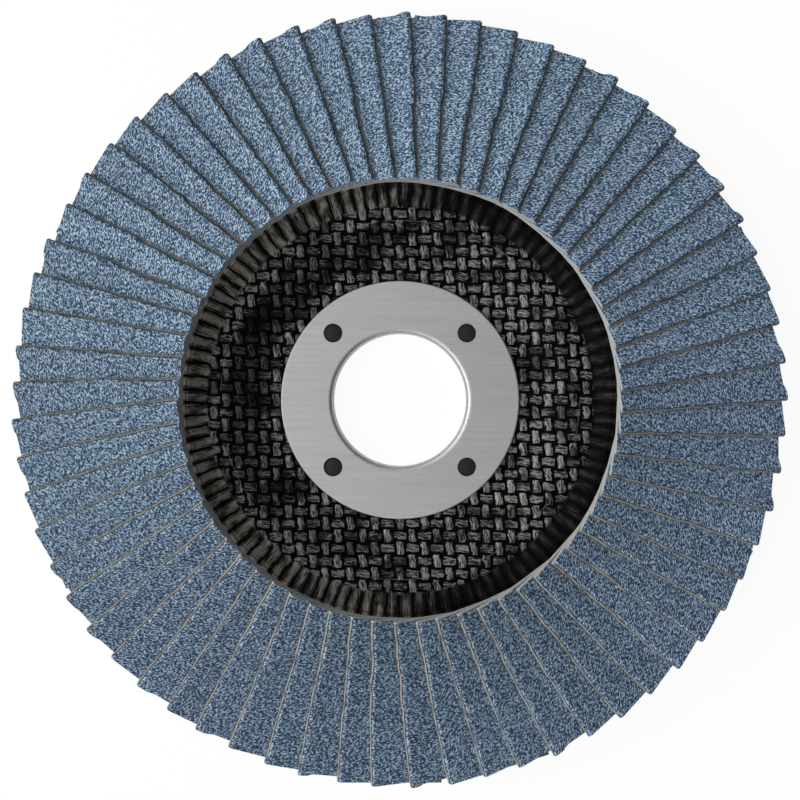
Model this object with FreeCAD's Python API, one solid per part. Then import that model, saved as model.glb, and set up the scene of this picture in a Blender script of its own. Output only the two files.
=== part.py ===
"""Flap disc for an angle grinder, 125 mm across with a 22.23 mm bore.

The disc lies on its hub with the abrasive side up.  The origin is on the bore
axis, on the back face of the hub, and +Z points out of the abrasive side.
Lengths are millimetres and angles are degrees.

It has four kinds of piece: a moulded backing plate of woven glass fibre and
resin, a pressed metal ring that lines the bore, a bed of cured adhesive on the
plate's flange, and a fan of abrasive cloth flaps whose feet stand in that bed.
"""
import FreeCAD, Part
import math
import os

Vector = FreeCAD.Vector
AXIS = Vector(0, 0, 1)

# Overall sizes
disc_radius = 62.5
bore_radius = 11.115
flap_count = 65

# Backing plate, seen as a profile from the bore outwards
hub_thickness = 3.0
hub_flat_radius = 22.4
dish_radius = 29.0
floor_height = 4.5
floor_radius = 32.6
flange_height = 6.1
flange_inner_radius = 34.9
flange_radius = 57.0
floor_thickness = 2.5
flange_thickness = 2.4
back_step = 1.3
rim_rounding = 0.5
largest_flat = 0.5

# Woven glass cloth that shows on the front of the plate
thread_pitch = 2.06
thread_width = 1.2
float_length = 2.3
crest_length = 1.2
float_height = 0.25
float_root = 0.15

# Pressed ring with a collar through the hub and a lip on the back
ring_sheet = 0.7
ring_radius = 19.9
ring_bend = 0.85
ring_edge_rounding = 0.25
ring_hole_radius = 1.5
ring_hole_circle = 15.8
ring_hole_count = 4
lip_width = 1.5
lip_setback = 0.1
moulding_gap = 0.02

# Moulded pegs that fill the holes of the ring
peg_height = 0.42
peg_root = 0.5

# Adhesive bed on the flange
bed_inner_margin = 0.4
bed_outer_margin = 0.9
bed_thickness = 0.5
bed_wedge_height = 0.5

# Flaps, each a rectangle of abrasive cloth with one long edge on show
flap_length = 27.2
flap_width = 17.0
flap_thickness = 1.1
flap_gap = 0.15
edge_offset = 4.9
outer_end_skew = 3.3
panels_across = 3
panels_along = 2
fan_turn = 3.0
flaps_per_group = 2

# Sizes that follow from those above
flap_pitch = 360.0 / flap_count
flap_rise = flap_thickness + flap_gap
flap_seat = flange_height + bed_thickness
collar_radius = bore_radius + ring_sheet
ring_face = hub_thickness + ring_sheet
lip_seat = lip_setback + ring_sheet
lip_radius = collar_radius + lip_width


def eased_corner(corner, before, after, rounding):
    """Points that round off one corner of an outline with short flats."""
    if rounding == 0:
        return [corner]
    toward_before = (before - corner).normalize()
    toward_after = (after - corner).normalize()
    half_angle = toward_before.getAngle(toward_after) / 2
    setback = rounding / math.tan(half_angle)
    middle = corner + (toward_before + toward_after).normalize() * (rounding / math.sin(half_angle))
    start = corner + toward_before * setback - middle
    end = corner + toward_after * setback - middle
    flats = math.ceil(rounding / largest_flat)
    turn = start.getAngle(end)
    points = []
    for step in range(flats + 1):
        share = step / flats
        point = start * (math.sin((1 - share) * turn) / math.sin(turn))
        point = point + end * (math.sin(share * turn) / math.sin(turn))
        points.append(middle + point)
    return points


def turned(corners):
    """Solid turned about the disc's axis from (radius, height, rounding) corners."""
    points = [Vector(radius, 0, height) for radius, height, _ in corners]
    outline = []
    for index, (_, _, rounding) in enumerate(corners):
        after = points[(index + 1) % len(points)]
        outline += eased_corner(points[index], points[index - 1], after, rounding)
    face = Part.Face(Part.makePolygon(outline + outline[:1]))
    return face.revolve(Vector(0, 0, 0), AXIS, 360)


def around_axis(shape, count):
    """Copies of a shape at even steps about the disc's axis."""
    copies = []
    for index in range(count):
        turned_copy = shape.copy()
        turned_copy.rotate(Vector(0, 0, 0), AXIS, 360.0 * index / count)
        copies.append(turned_copy)
    return copies


def ring_hole_places():
    """Centres of the holes of the ring, at 45 degrees to the image axes."""
    places = []
    for index in range(ring_hole_count):
        angle = math.radians(45 + 360.0 * index / ring_hole_count)
        places.append((ring_hole_circle * math.cos(angle), ring_hole_circle * math.sin(angle)))
    return places


def plate_front():
    """Corners of the plate's front face, from the ring's seat to the flange."""
    return [
        (hub_flat_radius, hub_thickness, 0),
        (dish_radius, floor_height, 0),
        (floor_radius, floor_height, 0),
        (flange_inner_radius, flange_height, 0),
    ]


def plate_body():
    """Moulded body of the plate, without weave and pegs."""
    floor_back = floor_height - floor_thickness
    flange_back = flange_height - flange_thickness
    bore = collar_radius + moulding_gap
    lip_recess = lip_radius + moulding_gap
    return turned(
        [(bore, hub_thickness, 0)]
        + plate_front()
        + [
            (flange_radius, flange_height, rim_rounding),
            (flange_radius, flange_back, rim_rounding),
            (flange_inner_radius + back_step, flange_back, 0),
            (floor_radius + back_step, floor_back, 0),
            (dish_radius + back_step, floor_back, 0),
            (hub_flat_radius + back_step, 0, 0),
            (lip_recess, 0, 0),
            (lip_recess, lip_seat, 0),
            (bore, lip_seat, 0),
        ]
    )


def front_at(radius):
    """Height of the plate's front face and its upward slope at a radius inside the wall."""
    rise = floor_height - hub_thickness
    run = dish_radius - hub_flat_radius
    if radius < hub_flat_radius:
        return hub_thickness, 0
    if radius < dish_radius:
        return hub_thickness + rise * (radius - hub_flat_radius) / run, math.degrees(math.atan2(rise, run))
    return floor_height, 0


def thread_float():
    """One raised length of thread along Y: a low ridge that dives under at both ends."""
    spread = 1 + float_root / float_height
    half_width = thread_width / 2 * spread
    half_crest = crest_length / 2
    half_length = half_crest + (float_length / 2 - half_crest) * spread
    ridge = Part.makeWedge(
        -half_width, -float_root, -half_length, -half_crest, 0,
        half_width, float_height, half_length, half_crest, 0,
    )
    ridge.rotate(Vector(0, 0, 0), Vector(1, 0, 0), 90)
    return ridge


def weave_floats():
    """Floats in a checkerboard, where a lengthwise thread passes over a crosswise one."""
    inner_limit = ring_radius + float_length / 2
    outer_limit = floor_radius - float_length / 2
    reach = int(outer_limit / thread_pitch) + 1
    ridge = thread_float()
    floats = []
    for column in range(-reach, reach + 1):
        for row in range(-reach + (column + reach) % 2, reach + 1, 2):
            x = column * thread_pitch
            y = row * thread_pitch
            if not inner_limit < math.hypot(x, y) < outer_limit:
                continue
            height, slope = front_at(math.hypot(x, y))
            thread = ridge.copy()
            thread.rotate(Vector(0, 0, 0), Vector(-y, x, 0), -slope)
            thread.translate(Vector(x, y, height))
            floats.append(thread)
    return floats


def ring_pegs():
    """Resin that rose into the holes of the ring while the plate was moulded."""
    radius = ring_hole_radius - moulding_gap
    peg = turned(
        [
            (0, hub_thickness - peg_root, 0),
            (radius, hub_thickness - peg_root, 0),
            (radius, hub_thickness + peg_height, 0),
            (0, hub_thickness + peg_height, 0),
        ]
    )
    pegs = []
    for x, y in ring_hole_places():
        placed = peg.copy()
        placed.translate(Vector(x, y, 0))
        pegs.append(placed)
    return pegs


def backing_plate():
    """Backing plate with its woven front and the pegs for the ring."""
    return plate_body().fuse(weave_floats() + ring_pegs())


def centre_ring():
    """Pressed ring: a flat flange with four holes, a collar and a lip on the back."""
    ring = turned(
        [
            (bore_radius, lip_setback, ring_bend),
            (bore_radius, ring_face, ring_bend),
            (ring_radius, ring_face, ring_edge_rounding),
            (ring_radius, hub_thickness, 0),
            (collar_radius, hub_thickness, 0),
            (collar_radius, lip_seat, 0),
            (lip_radius, lip_seat, 0),
            (lip_radius, lip_setback, 0),
        ]
    )
    drills = []
    for x, y in ring_hole_places():
        start = Vector(x, y, hub_thickness - ring_sheet)
        drills.append(Part.makeCylinder(ring_hole_radius, 3 * ring_sheet, start))
    return ring.cut(drills)


def flap_underside(x, y):
    """Height of a flap's underside, for a flap whose edge on show is the line x = edge_offset.

    The flap climbs evenly with the angle about the axis, by one rise for each pitch, from
    its hidden edge on the bed.  Turned by one pitch it lies just clear of its neighbour.
    """
    radius = math.hypot(x, y)
    hidden_edge_angle = math.degrees(math.acos((edge_offset - flap_width) / radius))
    angle = math.degrees(math.atan2(y, x))
    return flap_seat + flap_rise * (hidden_edge_angle - angle) / flap_pitch


def flap_grid():
    """Corners of the flat panels of one flap, row by row from its inner end."""
    tip = math.sqrt(disc_radius ** 2 - edge_offset ** 2)
    skew = math.tan(math.radians(outer_end_skew))
    rows = []
    for row in range(panels_along + 1):
        corners = []
        for column in range(panels_across + 1):
            across = flap_width * column / panels_across
            length = flap_length - across * skew
            x = edge_offset - across
            y = tip - flap_length + length * row / panels_along
            corners.append(Vector(x, y, flap_underside(x, y)))
        rows.append(corners)
    return rows


def panel(corners):
    """Flat face through three or four corners."""
    return Part.Face(Part.makePolygon(corners + corners[:1]))


def flap():
    """One flap, a sheet whose twist is followed by flat panels."""
    lift = Vector(0, 0, flap_thickness)
    rows = flap_grid()
    faces = []
    for near, far in zip(rows, rows[1:]):
        for left in range(panels_across):
            inner_pair = near[left:left + 2]
            outer_pair = far[left:left + 2]
            for corners in (inner_pair + outer_pair[:1], inner_pair[1:] + outer_pair[::-1]):
                faces.append(panel(corners))
                faces.append(panel([corner + lift for corner in corners]))
    hem = rows[0] + [row[-1] for row in rows[1:-1]] + rows[-1][::-1] + [row[0] for row in rows[-2:0:-1]]
    for start, end in zip(hem, hem[1:] + hem[:1]):
        faces.append(panel([start, end, end + lift, start + lift]))
    solid = Part.Solid(Part.Shell(faces))
    if solid.Volume < 0:
        solid.reverse()
    solid.rotate(Vector(0, 0, 0), AXIS, fan_turn)
    return solid


def adhesive_ring(flaps):
    """Adhesive bed, with a seat for the foot of each flap."""
    bed = turned(
        [
            (flange_inner_radius + bed_inner_margin, flange_height, 0),
            (flange_radius - bed_outer_margin, flange_height, 0),
            (flange_radius - bed_outer_margin, flap_seat + bed_wedge_height, 0),
            (flange_inner_radius + bed_inner_margin, flap_seat + bed_wedge_height, 0),
        ]
    )
    return bed.cut(flaps)


def flap_groups(flaps):
    """Neighbouring flaps under one name each, such as flaps_01_02."""
    groups = {}
    for first in range(0, flap_count, flaps_per_group):
        members = flaps[first:first + flaps_per_group]
        if len(members) == 1:
            name = f"flap_{first + 1:02d}"
            groups[name] = members[0]
        else:
            name = f"flaps_{first + 1:02d}_{first + len(members):02d}"
            groups[name] = Part.makeCompound(members)
    return groups


def main():
    """Builds every piece and writes one file for each named node."""
    flaps = around_axis(flap(), flap_count)
    nodes = {
        "backing_plate": backing_plate(),
        "centre_ring": centre_ring(),
        "adhesive_ring": adhesive_ring(flaps),
    }
    nodes.update(flap_groups(flaps))
    os.makedirs("parts", exist_ok=True)
    for name, shape in nodes.items():
        shape.exportStep(f"parts/{name}.step")
        print(name, "solids", len(shape.Solids), "volume", round(shape.Volume, 1))


main()
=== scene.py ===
"""Looks of the flap disc: blue-grey abrasive cloth fanned on a woven glass-fibre plate with a metal ring.

Lengths in the classes are millimetres, and a mesh is written in metres.  The bore's axis is Z, and the disc
lies on the back of its hub, abrasive side up.  In the finishes a pair named step says where a soft step
starts and ends, a pair named level gives its least value and its gain, and a stretch is how often a pattern
repeats.
"""
import logging
import math
from dataclasses import dataclass
from enum import Enum
from typing import Any, Optional, Sequence, Union

import bpy
import numpy as np
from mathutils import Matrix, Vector


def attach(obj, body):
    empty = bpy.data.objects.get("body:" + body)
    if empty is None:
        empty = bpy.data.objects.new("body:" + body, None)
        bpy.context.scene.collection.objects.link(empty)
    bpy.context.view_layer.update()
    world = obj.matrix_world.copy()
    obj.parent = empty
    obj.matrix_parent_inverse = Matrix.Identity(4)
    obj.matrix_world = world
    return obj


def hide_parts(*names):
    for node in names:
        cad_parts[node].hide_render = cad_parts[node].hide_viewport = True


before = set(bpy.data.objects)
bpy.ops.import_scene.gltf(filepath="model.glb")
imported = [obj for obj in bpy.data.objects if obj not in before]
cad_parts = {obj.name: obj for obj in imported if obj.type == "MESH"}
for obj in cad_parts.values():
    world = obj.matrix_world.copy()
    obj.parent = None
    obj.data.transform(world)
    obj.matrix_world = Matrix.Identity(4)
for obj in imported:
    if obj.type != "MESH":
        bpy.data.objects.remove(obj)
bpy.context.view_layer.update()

MM = 0.001
BODY = "root"
SEED = 65
SHARP_DEGREES = 38.0
FIRST_HOLE_DEGREES = 45.0
RIB_SWAY = 0.22
RIB_SWAY_COUNT = 7.0
RIB_SWAY_START = 1.3
WHITE = (1.0, 1.0, 1.0, 1.0)
log = logging.getLogger("flap_disc")

Colour = tuple[float, float, float]
Pair = tuple[float, float]
Triple = tuple[float, float, float]
Value = Union["Signal", float, tuple]


class Slot(Enum):
    """Material slots of the record that the new pieces stand in."""

    PLATE = "glass_fibre_plate"
    RING = "ring_metal"
    CLOTH = "abrasive_cloth"


class Signal:
    """A shader socket whose arithmetic adds Math nodes."""

    def __init__(self, graph: "Graph", socket: bpy.types.NodeSocket) -> None:
        """Wraps a socket of a graph."""
        self.graph = graph
        self.socket = socket

    def __add__(self, other: Value) -> "Signal":
        """Sum."""
        return self.graph.math("ADD", self, other)

    def __sub__(self, other: Value) -> "Signal":
        """Difference."""
        return self.graph.math("SUBTRACT", self, other)

    def __rsub__(self, other: Value) -> "Signal":
        """Difference, with the number first."""
        return self.graph.math("SUBTRACT", other, self)

    def __mul__(self, other: Value) -> "Signal":
        """Product."""
        return self.graph.math("MULTIPLY", self, other)

    def __truediv__(self, other: Value) -> "Signal":
        """Quotient."""
        return self.graph.math("DIVIDE", self, other)

    def __abs__(self) -> "Signal":
        """Size without sign."""
        return self.graph.math("ABSOLUTE", self)

    __radd__ = __add__
    __rmul__ = __mul__


class Graph:
    """The node tree of one material or world."""

    def __init__(self, owner: Union[bpy.types.Material, bpy.types.World]) -> None:
        """Starts an empty tree on its owner."""
        owner.use_nodes = True
        self.tree = owner.node_tree
        self.tree.nodes.clear()

    def add(
        self,
        kind: str,
        settings: Optional[dict[str, Any]] = None,
        sockets: Optional[dict[Union[str, int], Value]] = None,
        output: Union[str, int] = 0,
    ) -> Signal:
        """Adds one node.

        Args:
            kind: the node's type.
            settings: the node's own properties; "stops" is a ramp's list of (place, colour).
            sockets: values or signals by the input's name or index.
            output: name or index of the output that is returned.

        Returns:
            The chosen output, or the node's first input when it has no output.
        """
        node = self.tree.nodes.new(kind)
        for key, value in (settings or {}).items():
            if key == "stops":
                self._set_stops(node.color_ramp, value)
            else:
                setattr(node, key, value)
        for key, value in (sockets or {}).items():
            if isinstance(value, Signal):
                self.tree.links.new(value.socket, node.inputs[key])
            elif value is not None:
                node.inputs[key].default_value = value
        return Signal(self, node.outputs[output] if len(node.outputs) else node.inputs[0])

    @staticmethod
    def _set_stops(ramp: bpy.types.ColorRamp, stops: Sequence[tuple[float, Colour]]) -> None:
        """Replaces the stops of a colour ramp.

        Args:
            ramp: the ramp of a new node.
            stops: place and colour of each stop, from 0 to 1.
        """
        while len(ramp.elements) < len(stops):
            ramp.elements.new(1.0)
        for element, (place, colour) in zip(ramp.elements, stops):
            element.position = place
            element.color = (*colour, 1.0)

    def math(self, operation: str, *values: Value) -> Signal:
        """Adds a Math node on one or two values."""
        return self.add("ShaderNodeMath", {"operation": operation}, dict(enumerate(values)))

    def smooth(self, value: Value, low: float, high: float) -> Signal:
        """Soft step from 0 at low to 1 at high."""
        settings = {"interpolation_type": "SMOOTHSTEP"}
        return self.add("ShaderNodeMapRange", settings, {"Value": value, "From Min": low, "From Max": high})

    def fade(self, value: Value, low: float, high: float) -> Signal:
        """Soft step from 1 at low to 0 at high."""
        return 1.0 - self.smooth(value, low, high)

    def lifted(self, value: Value, step: Pair, level: Pair) -> Signal:
        """Soft step from the level's first number, by its second."""
        return level[0] + level[1] * self.smooth(value, *step)

    def blend(self, share: Value, first: Value, second: Value) -> Signal:
        """Mixes two colours by a share of the second."""
        pair = [(*colour, 1.0) if isinstance(colour, tuple) else colour for colour in (first, second)]
        return self.add("ShaderNodeMix", {"data_type": "RGBA"}, {0: share, 6: pair[0], 7: pair[1]}, 2)

    def toned(self, colour: Value, tone: Signal) -> Signal:
        """A colour made brighter or darker by a factor."""
        whole = (*colour, 1.0) if isinstance(colour, tuple) else colour
        return self.add("ShaderNodeHueSaturation", {}, {"Value": tone, "Color": whole})

    def noise(self, place: Signal, scale: float, detail: float = 2.0, roughness: float = 0.5) -> Signal:
        """Noise from 0 to 1 at a place."""
        sockets = {"Vector": place, "Scale": scale, "Detail": detail, "Roughness": roughness}
        return self.add("ShaderNodeTexNoise", {}, sockets)

    def point(self, x: Value, y: Value, z: Value) -> Signal:
        """Vector from three numbers."""
        return self.add("ShaderNodeCombineXYZ", {}, {0: x, 1: y, 2: z})

    def split(self, vector: Signal) -> tuple[Signal, Signal, Signal]:
        """The three numbers of a vector."""
        node = self.add("ShaderNodeSeparateXYZ", {}, {0: vector}).socket.node
        return tuple(Signal(self, node.outputs[index]) for index in range(3))

    def object_mm(self) -> tuple[Signal, Signal, Signal]:
        """X, Y and Z of the object's own coordinates, in millimetres.

        Returns:
            The three signals.
        """
        place = self.add("ShaderNodeTexCoord", output="Object")
        scaled = self.add("ShaderNodeVectorMath", {"operation": "SCALE"}, {0: place, "Scale": 1 / MM})
        return self.split(scaled)

    def from_axis(self, x: Signal, y: Signal) -> Signal:
        """Distance from the bore's axis."""
        return self.math("SQRT", x * x + y * y)

    def attribute(self, name: str, output: str = "Fac") -> Signal:
        """An attribute that the mesh carries."""
        return self.add("ShaderNodeAttribute", {"attribute_name": name}, output=output)

    def bump(self, height: Signal, depth_mm: float) -> Signal:
        """Normal of a surface raised by height times a depth."""
        return self.add("ShaderNodeBump", {}, {"Strength": 1.0, "Distance": depth_mm * MM, "Height": height})

    def principled(self, sockets: dict[str, Value]) -> None:
        """Closes the material with one Principled shader."""
        self.close(self.add("ShaderNodeBsdfPrincipled", {}, sockets))

    def close(self, shader: Signal) -> None:
        """Links a shader to the output."""
        owner = "World" if shader.socket.node.type == "BACKGROUND" else "Material"
        self.add("ShaderNodeOutput" + owner, {}, {"Surface": shader})


def new_graph(name: str) -> tuple[bpy.types.Material, Graph]:
    """A new material and its empty graph."""
    material = bpy.data.materials.new(name)
    return material, Graph(material)


@dataclass(frozen=True)
class AbrasiveGrain:
    """Zirconia grain in blue resin on the face of a flap."""

    grain_width: float = 0.110
    grain_length: float = 0.250
    grain_depth: float = 0.180
    sway_scale: float = 0.9
    sway: Pair = (1.3, 0.7)
    flap_shift: Pair = (5.1, 3.3)
    slice_level: float = 0.4
    grain_scale: float = 0.62
    grain_detail: Pair = (0.6, 0.60)
    facet_scale: float = 0.8
    grain_gain: float = 1.6
    facet_gain: float = 0.20
    sunk: float = 0.20
    levels: tuple[float, ...] = (0.30, 0.44, 0.57, 0.71)
    deep_shade: Colour = (0.020, 0.045, 0.090)
    body: Colour = (0.074, 0.140, 0.234)
    light: Colour = (0.212, 0.330, 0.476)
    sparkle_highlight: Colour = (0.500, 0.650, 0.800)
    dust_and_shade: Colour = (0.180, 0.160, 0.120)
    patch_scale: float = 1.3
    patch_step: Pair = (0.58, 0.72)
    patch_share: float = 0.15
    dust_shade_scale: float = 1.2
    dust_shade_stray: float = 0.9
    dust_shade_step: Pair = (0.05, 0.30)
    dust_shade_share: float = 0.55
    edge_shade_stray: float = 0.3
    edge_shade_step: Pair = (0.02, 0.14)
    edge_shade_share: float = 0.15
    roughness: float = 0.55
    roughness_swing: float = 0.35
    specular: float = 0.45

    def material(self) -> bpy.types.Material:
        """Short wavy grains by noise that is stretched along each flap's own grain direction.

        The height is noise less the distance to the nearest facet's middle, and it picks the colour: the
        grains' own light and dark specks, with painted highlights on the crests and painted shade in the
        hollows.  Each flap's seed shifts the pattern, slow noise sways it, dust lies in patches, and a band
        of dust by the next flap carries painted contact shade.  Painted shade also darkens the face along its
        edge on show.

        Returns:
            The material, which reads grain_place, from_cover, from_edge and tone.
        """
        material, g = new_graph("abrasive_grain")
        u, v, seed = g.split(g.attribute("grain_place", "Vector"))
        plain = g.point(u, v, seed)
        sway = g.noise(plain, self.sway_scale, 1.0)
        across = u / self.grain_width + sway * self.sway[0] + seed * self.flap_shift[0]
        along = v / self.grain_length + sway * self.sway[1] + seed * self.flap_shift[1]
        streaked = g.point(across, along, self.slice_level)
        grains = g.noise(streaked, self.grain_scale, *self.grain_detail)
        facets = g.add("ShaderNodeTexVoronoi", {}, {"Vector": streaked, "Scale": self.facet_scale})
        height = grains * self.grain_gain - facets * self.facet_gain - self.sunk
        # painted highlights on the grain crests and painted shade in the hollows, over the grains' own light
        # and dark specks
        stops = list(zip(self.levels, (self.deep_shade, self.body, self.light, self.sparkle_highlight)))
        colour = g.add("ShaderNodeValToRGB", {"stops": stops}, {0: height})
        patches = g.smooth(g.noise(plain, self.patch_scale), *self.patch_step)
        colour = g.blend(patches * self.patch_share, colour, self.dust_and_shade)
        # dust and painted contact shade in a band where the next flap covers this one
        stray = (g.noise(plain, self.dust_shade_scale) - 0.5) * self.dust_shade_stray
        dust_and_contact_shade = g.fade(g.attribute("from_cover") + stray, *self.dust_shade_step)
        colour = g.blend(dust_and_contact_shade * self.dust_shade_share, colour, self.dust_and_shade)
        # painted shade: the face darkened towards the darkest grain colour along its edge on show
        rim = g.fade(g.attribute("from_edge") + (grains - 0.5) * self.edge_shade_stray, *self.edge_shade_step)
        colour = g.blend(rim * self.edge_shade_share, colour, self.deep_shade)
        g.principled({
            "Base Color": g.toned(colour, g.attribute("tone")),
            "Roughness": self.roughness - (height - 0.5) * self.roughness_swing,
            "Normal": g.bump(height, self.grain_depth),
            "Specular IOR Level": self.specular,
        })
        return material


@dataclass(frozen=True)
class ClothEdge:
    """Cut edge and back of the cloth: resin-soaked threads under a dark coat of grain."""

    coat_share: float = 0.36
    coat_softness: float = 0.08
    coat: Colour = (0.012, 0.020, 0.032)
    cloth: Colour = (0.285, 0.265, 0.205)
    ochre: Colour = (0.370, 0.285, 0.190)
    grey: Colour = (0.360, 0.385, 0.400)
    pale: Colour = (0.700, 0.650, 0.600)
    blue: Colour = (0.300, 0.410, 0.540)
    layer_shift: Pair = (0.6, 3.0)
    stretch_scale: float = 0.35
    ochre_step: Pair = (0.50, 0.66)
    thread_scale: float = 2.0
    thread_roughness: float = 0.6
    grey_step: Pair = (0.42, 0.62)
    grey_share: float = 0.85
    painted_left_light: Pair = (0.80, 0.50)
    painted_light_gain: Pair = (0.25, 0.90)
    coat_stray: float = 0.50
    caked_scale: float = 0.5
    caked_step: Pair = (0.52, 0.64)
    caked_share: float = 0.45
    thread_depth: float = 0.10
    roughness: float = 0.75
    specular: float = 0.3

    def material(self) -> bpy.types.Material:
        """Layers through the sheet, with threads that come and go along the cut; paler at the inner end.

        The layer runs from 0 on the back to 1 on the face.  The inner ends carry painted light, paler on the
        disc's left by the cosine of the angle, which is X over the distance from the axis.

        Returns:
            The material, which reads cloth_place, layer and inner_end.
        """
        material, g = new_graph("cloth_edge")
        u, v, seed = g.split(g.attribute("cloth_place", "Vector"))
        layer = g.attribute("layer")
        inner = g.attribute("inner_end")
        stretch = g.noise(g.point(u, v, seed + layer * self.layer_shift[0]), self.stretch_scale)
        fine = g.point(u * self.thread_scale, v * self.thread_scale, seed + layer * self.layer_shift[1])
        threads = g.noise(fine, 1.0, 2.0, self.thread_roughness)
        colour = g.blend(g.smooth(stretch, *self.ochre_step), self.cloth, self.ochre)
        greyed = g.math("MAXIMUM", g.smooth(threads, *self.grey_step) * self.grey_share, inner * layer)
        colour = g.blend(greyed, colour, self.grey)
        x, y, _ = g.object_mm()
        # painted light: the inner ends blended towards pale, more on the disc's left
        painted_left_light = self.painted_left_light[0] - x / g.from_axis(x, y) * self.painted_left_light[1]
        colour = g.blend(inner * painted_left_light * (self.painted_light_gain[0] + threads * self.painted_light_gain[1]), colour, self.pale)
        start = 1.0 - self.coat_share
        coat = g.smooth(layer + (threads - 0.5) * self.coat_stray, start, start + self.coat_softness)
        coarse = g.point(u * self.caked_scale, v * self.caked_scale, seed)
        caked = g.smooth(g.noise(coarse, 1.0), *self.caked_step) * self.caked_share
        coat = g.math("MAXIMUM", coat, caked * (1.0 - inner))
        colour = g.blend(coat * (1.0 - inner), colour, self.coat)
        colour = g.blend(coat * inner, colour, self.blue)
        g.principled({
            "Base Color": colour,
            "Roughness": self.roughness,
            "Normal": g.bump(threads, self.thread_depth),
            "Specular IOR Level": self.specular,
        })
        return material


@dataclass(frozen=True)
class FloatSet:
    """The weave's floats of one direction: how a thread on top is outlined and lit by its fibres."""

    bend: float
    narrowing: float
    edge_step: Pair
    fibre_step: Pair
    fibre_level: Pair
    cover_least: float
    fibre_first: bool


@dataclass(frozen=True)
class Spot:
    """Where a point of the plate is: its place, distance and angle from the axis, and a slow wander."""

    x: Signal
    y: Signal
    plain: Signal
    radius: Signal
    angle: Signal
    wander: Signal


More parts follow.
